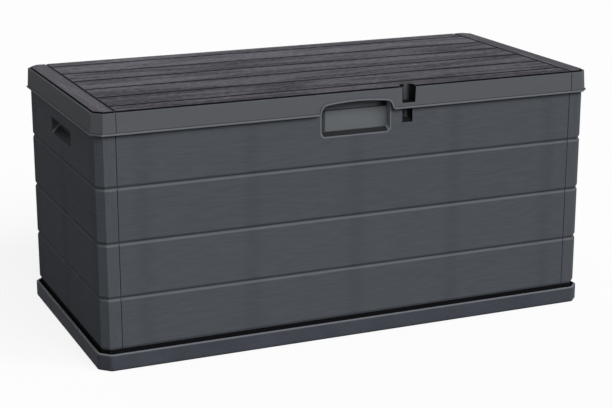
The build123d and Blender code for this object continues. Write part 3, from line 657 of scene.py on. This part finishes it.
def lid_material(name, finishes):
    """Boarded deck, smooth skirt and dark sunk lines of the lid moulding."""
    # Polypropylene, injection moulded: the deck has a deep wood grain that shines on its ridges and
    # goes dark in its pores; the skirt is smoother, so it looks paler and more even.
    material, tree, point = new_material(name)
    place = point["Object"]
    axes = add(tree, "SeparateXYZ", (place,))
    x, y, z = axes
    reach_x = add(tree, "Math", (x,), operation="ABSOLUTE")[0]
    reach_y = add(tree, "Math", (y,), operation="ABSOLUTE")[0]
    reaches = tuple(zip((reach_x, reach_y), LID_REACH))
    deck = add(tree, "MapRange", (z, LID_TOP - DECK_SKIN[0], LID_TOP - DECK_SKIN[1]))[0]
    end = add(tree, "Math", (reach_x, SEAM_X), operation="GREATER_THAN")[0]
    boards, figure, depth = deck_boards(tree, finishes, axes, deck, end)
    faint = add(tree, "MapRange", (depth, 0.0, 1.0, 0.0, 0.2))[0]
    skirt = paint(tree, finishes.skirt_face, finishes.wall_grain, faint)
    # Painted shade lies in the crease above the bead along the skirt's lower edge, and a painted highlight
    # on the bead.
    skirt = paint(tree, skirt, finishes.painted_shade, (z, BEAD_TOP, BEAD_TOP + BEAD_CREASE), 0.3)
    outer = [
        add(tree, "Math", (reach, edge - BEAD_REACH), operation="GREATER_THAN")[0] for reach, edge in reaches
    ]
    bead = add(tree, "Math", outer, operation="MAXIMUM")[0]
    skirt = paint(tree, skirt, finishes.pale_wear_and_highlight, bead, 0.36)
    # Painted shade fills the padlock pocket.
    lock_shade, strip = lid_lock(tree, x, y, z)
    skirt = paint(tree, skirt, finishes.painted_shade, lock_shade)
    # Painted shadow fills the corner behind the right end of the handle arch.
    behind = (y, WALL_FACE + NOOK_DEPTH[0], WALL_FACE + NOOK_DEPTH[1])
    nook = add(tree, "MapRange", (x, RECESS_HALF + NOOK_FADE[0], RECESS_HALF + NOOK_FADE[1], 0.0, 0.95))[0]
    ending = (x, 0.0, RECESS_HALF + NOOK_END)
    skirt = paint(tree, skirt, finishes.painted_shade, behind, (z, *NOOK_LEVEL), nook, ending)
    # Painted shade fills the sunk line, which lies below the deck and inside the rim.
    inside = [
        add(tree, "Math", (reach, edge - MOAT_INSET), operation="LESS_THAN")[0] for reach, edge in reaches
    ]
    slant = add(tree, "Math", (reach_x, reach_y), operation="ADD")[0]
    corner = sum(LID_REACH) - LID_CORNER - MOAT_INSET * math.sqrt(2)
    inside.append(add(tree, "Math", (slant, corner), operation="LESS_THAN")[0])
    inside.append(add(tree, "Math", (z, LID_TOP - MOAT_DEPTH), operation="GREATER_THAN")[0])
    upward = add(tree, "SeparateXYZ", (point["Normal"],))[2]
    flank = paint(tree, skirt, finishes.painted_shade, *inside, (upward, *NOT_DOWN))
    face = paint(tree, flank, boards, deck)
    # Painted shade in pockets and narrow gaps.
    face = paint_gap_shade(tree, face, finishes.painted_shade, SHADE_REACH, True)
    # A strip of the padlock pocket is painted paler, as painted light.
    face = paint(tree, face, finishes.skirt_face, strip)
    rounded, rubbed_and_lit = soft_edges(tree, finishes.edge_radius)
    # Edges are painted paler, partly as wear and partly as painted highlight.
    colour = paint(tree, face, finishes.pale_wear_and_highlight, rubbed_and_lit, 0.25)
    # Spark-eroded mould texture, 0.6 mm in the real mould and drawn at 1.5 mm so that it shows.
    grit = add(tree, "TexNoise", {"Vector": place, "Scale": 1 / MOULD_GRIT, "Detail": 2})["Fac"]
    # The figure is cut much less deep in the skirt than in the deck.
    cut = region(tree, figure, add(tree, "MapRange", (deck, 0.0, 1.0, 0.15, 1.0))[0])
    height = add(tree, "Math", (grit, 0.15, cut), operation="MULTIPLY_ADD")[0]
    shine = add(tree, "MapRange", (depth, 0.0, 1.0, 0.74, 0.52))[0]
    gloss = add(tree, "Mix", {0: deck, 2: 0.8, 3: shine})[0]
    surface(
        tree,
        height,
        {"Strength": 0.7, "Distance": 0.001, "Normal": rounded},
        {"Base Color": colour, "Roughness": gloss, "IOR": 1.49, "Specular IOR Level": 0.03},
    )
    return material


def tray_material(name, finishes):
    """Plain spark-textured resin of the base tray."""
    # Polypropylene, injection moulded in a spark-eroded mould: an even dark grey with a fine grit
    # and slow flow clouds; its rim is painted pale as a painted highlight.
    material, tree, point = new_material(name)
    place = point["Object"]
    z = add(tree, "SeparateXYZ", (place,))[2]
    cloud = add(tree, "TexNoise", {"Vector": place, "Scale": 1 / TRAY_CLOUD, "Detail": 3})["Fac"]
    # The real grit is 0.6 mm; it is drawn at 2.5 mm so that it shows.
    grit = add(tree, "TexNoise", {"Vector": place, "Scale": 1 / TRAY_GRIT, "Detail": 2})["Fac"]
    mottle = add(tree, "Mix", {0: 0.5, 2: cloud, 3: grit})[0]
    depth = add(tree, "MapRange", (mottle, 0.35, 0.65))[0]
    face = paint(tree, finishes.plinth_grit, finishes.plinth_face, depth)
    # Painted shade in gaps, and along the foot where the floor is near.
    face = paint_gap_shade(tree, face, finishes.painted_shade, TRAY_SHADE_REACH, False)
    rounded, rubbed_and_lit = soft_edges(tree, finishes.edge_radius * 4)
    # The rim and the edges are painted paler: a painted highlight, and on the edges partly wear.
    rim = add(tree, "MapRange", (z, PLINTH_TOP - PLINTH_RIM[0], PLINTH_TOP - PLINTH_RIM[1], 0.0, 0.6))[0]
    wear_and_highlight = add(tree, "Math", (region(tree, rubbed_and_lit, 0.2), rim), operation="MAXIMUM")[0]
    colour = paint(tree, face, finishes.pale_wear_and_highlight, wear_and_highlight)
    gloss = add(tree, "MapRange", (cloud, 0.0, 1.0, 0.62, 0.76))[0]
    surface(
        tree,
        grit,
        {"Strength": 0.5, "Distance": 0.0003, "Normal": rounded},
        {"Base Color": colour, "Roughness": gloss, "IOR": 1.49, "Specular IOR Level": 0.04},
    )
    return material


def nylon_material(name, finishes):
    """Glass-filled nylon of the hinge halves."""
    # Glass-filled nylon, moulded: nearly black with short pale fibres drawn out at the skin,
    # which leave it satin with cloudy dull patches.
    material, tree, point = new_material(name)
    place = point["Object"]
    # A fibre is about 0.3 mm long; it is drawn at 3 mm so that it shows.
    scale = (1 / FIBRE[0], 1 / FIBRE[1], 1 / FIBRE[1])
    drawn = add(tree, "VectorMath", (place, scale), operation="MULTIPLY")[0]
    fibre = add(tree, "TexNoise", {"Vector": drawn, "Scale": 1, "Detail": 2})["Fac"]
    pale = add(tree, "MapRange", (fibre, 0.5, 0.8, 0.0, 0.5))[0]
    face = paint(tree, finishes.nylon_face, finishes.pale_wear_and_highlight, pale)
    rounded, rubbed_and_lit = soft_edges(tree, finishes.edge_radius * 0.6)
    # Edges are painted paler, partly as wear and partly as painted highlight.
    colour = paint(tree, face, finishes.pale_wear_and_highlight, rubbed_and_lit, 0.4)
    cloud = add(tree, "TexNoise", {"Vector": place, "Scale": 1 / NYLON_CLOUD, "Detail": 3})["Fac"]
    gloss = add(tree, "MapRange", (cloud, 0.0, 1.0, 0.34, 0.54))[0]
    surface(
        tree,
        fibre,
        {"Strength": 0.4, "Distance": 0.0002, "Normal": rounded},
        {"Base Color": colour, "Roughness": gloss, "IOR": 1.53},
    )
    return material


def pin_material(name, finishes):
    """Ground steel of the hinge pins."""
    # Mild steel rod, centreless ground: bright, with fine rings round the rod and a few dull spots.
    material, tree, point = new_material(name)
    place = point["Object"]
    # A grinding line is about 0.05 mm; it is drawn at 0.4 mm so that it shows.
    scale = (1 / GRINDING[0], 1 / GRINDING[1], 1 / GRINDING[1])
    turned = add(tree, "VectorMath", (place, scale), operation="MULTIPLY")[0]
    line = add(tree, "TexNoise", {"Vector": turned, "Scale": 1, "Detail": 2})["Fac"]
    spot = add(tree, "TexNoise", {"Vector": place, "Scale": 1 / DULL_SPOT, "Detail": 3})["Fac"]
    dull = add(tree, "MapRange", (spot, 0.55, 0.75))[0]
    colour = paint(tree, finishes.pin_steel, finishes.pale_wear_and_highlight, dull, 0.5)
    gloss = add(tree, "Math", (line, 0.2, 0.18), operation="MULTIPLY_ADD")[0]
    surface(
        tree,
        line,
        {"Strength": 0.3, "Distance": 0.0001},
        {"Base Color": colour, "Metallic": 1.0, "Roughness": gloss},
    )
    return material


def zinc_material(name, finishes):
    """Zinc plating of the screws."""
    # Steel, zinc plated and passivated: a cool bright grey, clouded in patches, duller where it was handled.
    material, tree, point = new_material(name)
    place = point["Object"]
    patch = add(tree, "TexVoronoi", {"Vector": place, "Scale": 1 / ZINC_PATCH})["Color"]
    patch = add(tree, "SeparateColor", (patch,))[0]
    cloud = add(tree, "TexNoise", {"Vector": place, "Scale": 1 / ZINC_CLOUD, "Detail": 3})["Fac"]
    mottle = add(tree, "Mix", {0: 0.6, 2: patch, 3: cloud})[0]
    share = add(tree, "MapRange", (mottle, 0.0, 1.0, 0.0, 0.35))[0]
    colour = paint(tree, finishes.screw_zinc, finishes.pin_steel, share)
    gloss = add(tree, "Math", (mottle, 0.22, 0.24), operation="MULTIPLY_ADD")[0]
    surface(
        tree,
        cloud,
        {"Strength": 0.25, "Distance": 0.0001},
        {"Base Color": colour, "Metallic": 1.0, "Roughness": gloss},
    )
    return material


def paper_material(name, studio):
    """Background paper of the stage."""
    # Seamless background paper: an even matte white with a trace of tooth. What the camera sees of it
    # is washed towards white, and the light that it throws back on the box is that of a dull floor.
    material, tree, point = new_material(name)
    place = point["Object"]
    tooth = add(tree, "TexNoise", {"Vector": place, "Scale": 1 / PAPER_TOOTH, "Detail": 2})["Fac"]
    bump = add(tree, "Bump", {"Strength": 0.05, "Distance": 0.0002, "Height": tooth})[0]
    paper = add(tree, "BsdfDiffuse", {"Color": studio.floor_colour, "Normal": bump})[0]
    white = add(tree, "Emission", {"Color": WHITE, "Strength": 1.0})[0]
    washed = add(tree, "MixShader", (studio.floor_wash, paper, white))[0]
    dull = add(tree, "BsdfDiffuse", {"Color": studio.floor_bounce})[0]
    mixed = add(tree, "MixShader", (seen_directly(tree), dull, washed))[0]
    add(tree, "OutputMaterial", {"Surface": mixed})
    return material


def dress(nodes, material):
    """Gives the named CAD nodes one material."""
    for name in nodes:
        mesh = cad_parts[name].data
        mesh.materials.clear()
        mesh.materials.append(material)


def ring(bm, radius, level, facets):
    """A closed round of vertices."""
    angles = [2 * math.pi * i / facets for i in range(facets)]
    return [bm.verts.new((radius * math.cos(a), radius * math.sin(a), level)) for a in angles]


def skin(bm, first, second):
    """Quads between two rounds with the same count."""
    count = len(first)
    for i in range(count):
        bm.faces.new((first[i], first[(i + 1) % count], second[(i + 1) % count], second[i]))


def driver_cross(sizes, level, share):
    """Corners of the cross that takes the driver, anticlockwise."""
    tip = sizes.cross_length / 2 * share
    arm = sizes.cross_width / 2 * share
    corners = []
    for quarter in range(4):
        turn = Matrix.Rotation(quarter * math.pi / 2, 3, "Z")
        corners += [turn @ Vector(p) for p in ((tip, -arm, level), (tip, arm, level), (arm, arm, level))]
    return corners


def thread_round(bm, sizes, level, taper):
    """A round of vertices at one level of the cut thread."""
    facets = sizes.facets
    core = sizes.shank_radius * CORE
    verts = []
    for i in range(facets):
        angle = 2 * math.pi * i / facets
        phase = (level / sizes.thread_pitch - i / facets) % 1.0
        crest = max(0.0, 1.0 - abs(phase - 0.5) / CREST)
        reach = (core + (sizes.shank_radius - core) * crest) * taper
        verts.append(bm.verts.new((reach * math.cos(angle), reach * math.sin(angle), level)))
    return verts


def screw_mesh(sizes, run):
    """Pan-head screw along +Z with its seat at the origin, a driver cross and a cut thread."""
    bm = bmesh.new()
    radius = sizes.head_radius
    top = -sizes.head_height
    crown = ring(bm, radius * CROWN, top, sizes.facets)
    mouth = [bm.verts.new(p) for p in driver_cross(sizes, top, 1.0)]
    floor = [bm.verts.new(p) for p in driver_cross(sizes, top * CROSS_DEPTH, CROSS_TAPER)]
    edges = []
    for loop in (crown, mouth):
        edges += [bm.edges.new((loop[i], loop[(i + 1) % len(loop)])) for i in range(len(loop))]
    bmesh.ops.triangle_fill(bm, edges=edges, use_beauty=True, use_dissolve=False)
    skin(bm, mouth, floor)
    bm.faces.new(floor)
    rounds = [ring(bm, radius * share, top * level, sizes.facets) for share, level in HEAD_PROFILE]
    rows = max(8, int(ROWS_PER_TURN * run / sizes.thread_pitch))
    for row in range(rows + 1):
        level = run * row / rows
        taper = min(1.0, (run - level) / (2 * sizes.shank_radius) + POINT)
        rounds.append(thread_round(bm, sizes, level, taper))
    last = crown
    for following in rounds:
        skin(bm, last, following)
        last = following
    bm.faces.new(last)
    bmesh.ops.recalc_face_normals(bm, faces=bm.faces[:])
    return bm


def screw_row(node, sizes, direction, axis, count, material, body):
    """Screws in a row that stand for one CAD node of screws."""
    low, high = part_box(node)
    way = Vector(direction)
    lead = max(range(3), key=lambda i: abs(way[i]))
    run = high[lead] - low[lead] - sizes.head_height
    whole = bmesh.new()
    for i in range(count):
        share = i / (count - 1)
        seat = (low + high) / 2
        first = low[axis] + sizes.head_radius
        seat[axis] = first + share * (high[axis] - sizes.head_radius - first)
        seat[lead] = low[lead] + sizes.head_height if way[lead] > 0 else high[lead] - sizes.head_height
        one = screw_mesh(sizes, run)
        # Each screw stopped at its own angle.
        spin = Matrix.Rotation(SPIN_STEP * i + SPIN_START * len(node), 4, "Z")
        pose = Matrix.Translation(seat) @ way.to_track_quat("Z", "Y").to_matrix().to_4x4() @ spin
        bmesh.ops.transform(one, matrix=pose, verts=one.verts[:])
        part = bpy.data.meshes.new("one_screw")
        one.to_mesh(part)
        one.free()
        whole.from_mesh(part)
        bpy.data.meshes.remove(part)
    mesh = bpy.data.meshes.new(node + "_threaded")
    whole.to_mesh(mesh)
    whole.free()
    mesh.materials.append(material)
    for face in mesh.polygons:
        face.use_smooth = True
    mesh.set_sharp_from_angle(angle=SHARP_ANGLE)
    screws = bpy.data.objects.new(node + "_threaded", mesh)
    bpy.context.scene.collection.objects.link(screws)
    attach(screws, body)
    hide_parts(node)


class DECKBOX_OT_walls(bpy.types.Operator):
    """Finishes the four wall panels as grained boards"""

    bl_idname = "deckbox.walls"
    bl_label = "Finish Walls"

    def execute(self, context):
        finishes = context.scene.deckbox_finishes
        dress(("front_panel", "rear_panel"), plank_material("polypropylene_moulded_planks", finishes, False))
        dress(
            ("left_side_panel", "right_side_panel"),
            plank_material("polypropylene_moulded_side_planks", finishes, True),
        )
        return {"FINISHED"}


class DECKBOX_OT_lid(bpy.types.Operator):
    """Finishes the lid moulding: boarded deck, skirt and sunk lines"""

    bl_idname = "deckbox.lid"
    bl_label = "Finish Lid"

    def execute(self, context):
        dress(("lid_shell",), lid_material("polypropylene_moulded_deck", context.scene.deckbox_finishes))
        return {"FINISHED"}


class DECKBOX_OT_tray(bpy.types.Operator):
    """Finishes the base tray"""

    bl_idname = "deckbox.tray"
    bl_label = "Finish Base Tray"

    def execute(self, context):
        dress(("base_tray",), tray_material("polypropylene_spark_textured", context.scene.deckbox_finishes))
        return {"FINISHED"}


class DECKBOX_OT_hinges(bpy.types.Operator):
    """Finishes the hinge brackets, leaves and pins"""

    bl_idname = "deckbox.hinges"
    bl_label = "Finish Hinges"

    def execute(self, context):
        finishes = context.scene.deckbox_finishes
        halves = [part + side for part in ("hinge_bracket_", "hinge_leaf_") for side in SIDES]
        dress(halves, nylon_material("nylon_glass_filled", finishes))
        dress(["hinge_pin_" + side for side in SIDES], pin_material("steel_ground_rod", finishes))
        return {"FINISHED"}


class DECKBOX_OT_screws(bpy.types.Operator):
    """Builds the threaded pan-head screws of the hinges, corners and floor"""

    bl_idname = "deckbox.screws"
    bl_label = "Build Screws"

    def execute(self, context):
        sizes = context.scene.deckbox_fasteners
        zinc = zinc_material("steel_zinc_plated", context.scene.deckbox_finishes)
        for side in SIDES:
            screw_row("bracket_screws_" + side, sizes, (0, -1, 0), 0, 2, zinc, "body")
            screw_row("leaf_screws_" + side, sizes, (0, -1, 0), 0, 2, zinc, "lid")
        for face in FACES:
            screw_row("floor_screws_" + face, sizes, (0, 0, -1), 0, 3, zinc, "body")
            for side, sign in (("left", -1), ("right", 1)):
                node = "corner_screws_" + face + "_" + side
                screw_row(node, sizes, (sign, 0, 0), 2, 3, zinc, "body")
        for side in ("left", "right"):
            screw_row("floor_screws_" + side, sizes, (0, 0, -1), 1, 2, zinc, "body")
        return {"FINISHED"}


class DECKBOX_OT_stage(bpy.types.Operator):
    """Sets up the pale floor, the soft light and the camera"""

    bl_idname = "deckbox.stage"
    bl_label = "Set Stage"

    def execute(self, context):
        scene = context.scene
        studio = scene.deckbox_studio
        scene.view_settings.view_transform = "Standard"

        bm = bmesh.new()
        bmesh.ops.create_grid(bm, x_segments=8, y_segments=8, size=FLOOR_HALF)
        mesh = bpy.data.meshes.new("floor")
        bm.to_mesh(mesh)
        bm.free()
        mesh.materials.append(paper_material("background_paper", studio))
        floor = bpy.data.objects.new("floor", mesh)
        floor.location.z = cad_box[0][2]
        scene.collection.objects.link(floor)

        world = bpy.data.worlds.new("studio_room")
        world.use_nodes = True
        world.node_tree.nodes.clear()
        tree = world.node_tree
        room = add(tree, "Background", {"Color": WHITE, "Strength": studio.sky_level})[0]
        # Cameras, gloss and glass see the white walls of the room.
        walls = add(tree, "Background", {"Color": WHITE, "Strength": 1.0})[0]
        mixed = add(tree, "MixShader", (seen_directly(tree), room, walls))[0]
        add(tree, "OutputWorld", {"Surface": mixed})
        scene.world = world

        for name, level, spread, source in (
            ("key", studio.key_level, studio.key_spread, studio.key_from),
            ("top", studio.top_level, studio.top_spread, studio.top_from),
            ("fill", studio.fill_level, studio.fill_spread, studio.fill_from),
        ):
            light = bpy.data.lights.new(name, "SUN")
            light.energy = level
            light.angle = spread
            lamp = bpy.data.objects.new(name, light)
            lamp.rotation_euler = Vector(source).to_track_quat("Z", "Y").to_euler()
            lamp.location = Vector(source) * LAMP_DISTANCE
            scene.collection.objects.link(lamp)

        lens = bpy.data.cameras.new("camera")
        lens.lens = studio.camera_lens
        lens.sensor_width = SENSOR_WIDTH
        lens.sensor_fit = "HORIZONTAL"
        lens.clip_end = CAMERA_REACH
        camera = bpy.data.objects.new("camera", lens)
        camera.location = studio.camera_at
        camera.rotation_euler = (math.pi / 2 - studio.camera_pitch, 0.0, studio.camera_yaw)
        scene.collection.objects.link(camera)
        scene.camera = camera
        return {"FINISHED"}


class DECKBOX_PT_sidebar(bpy.types.Panel):
    """Lists the steps and settings of the box"""

    bl_idname = "DECKBOX_PT_sidebar"
    bl_label = "Deck Storage Box"
    bl_space_type = "VIEW_3D"
    bl_region_type = "UI"
    bl_category = "Deck Box"

    def draw(self, context):
        layout = self.layout
        for operator in OPERATORS:
            layout.operator(operator.bl_idname)
        for group in (
            context.scene.deckbox_finishes,
            context.scene.deckbox_fasteners,
            context.scene.deckbox_studio,
        ):
            column = layout.box().column()
            for key in group.__annotations__:
                column.prop(group, key)


OPERATORS = (
    DECKBOX_OT_walls,
    DECKBOX_OT_lid,
    DECKBOX_OT_tray,
    DECKBOX_OT_hinges,
    DECKBOX_OT_screws,
    DECKBOX_OT_stage,
)
CLASSES = (DeckBoxFinishes, DeckBoxFasteners, DeckBoxStudio, *OPERATORS, DECKBOX_PT_sidebar)


def register():
    for cls in CLASSES:
        bpy.utils.register_class(cls)
    bpy.types.Scene.deckbox_finishes = PointerProperty(type=DeckBoxFinishes)
    bpy.types.Scene.deckbox_fasteners = PointerProperty(type=DeckBoxFasteners)
    bpy.types.Scene.deckbox_studio = PointerProperty(type=DeckBoxStudio)


def unregister():
    del bpy.types.Scene.deckbox_studio
    del bpy.types.Scene.deckbox_fasteners
    del bpy.types.Scene.deckbox_finishes
    for cls in reversed(CLASSES):
        bpy.utils.unregister_class(cls)


def main():
    register()
    bpy.ops.deckbox.walls()
    bpy.ops.deckbox.lid()
    bpy.ops.deckbox.tray()
    bpy.ops.deckbox.hinges()
    bpy.ops.deckbox.screws()
    bpy.ops.deckbox.stage()


if __name__ == "__main__":
    main()
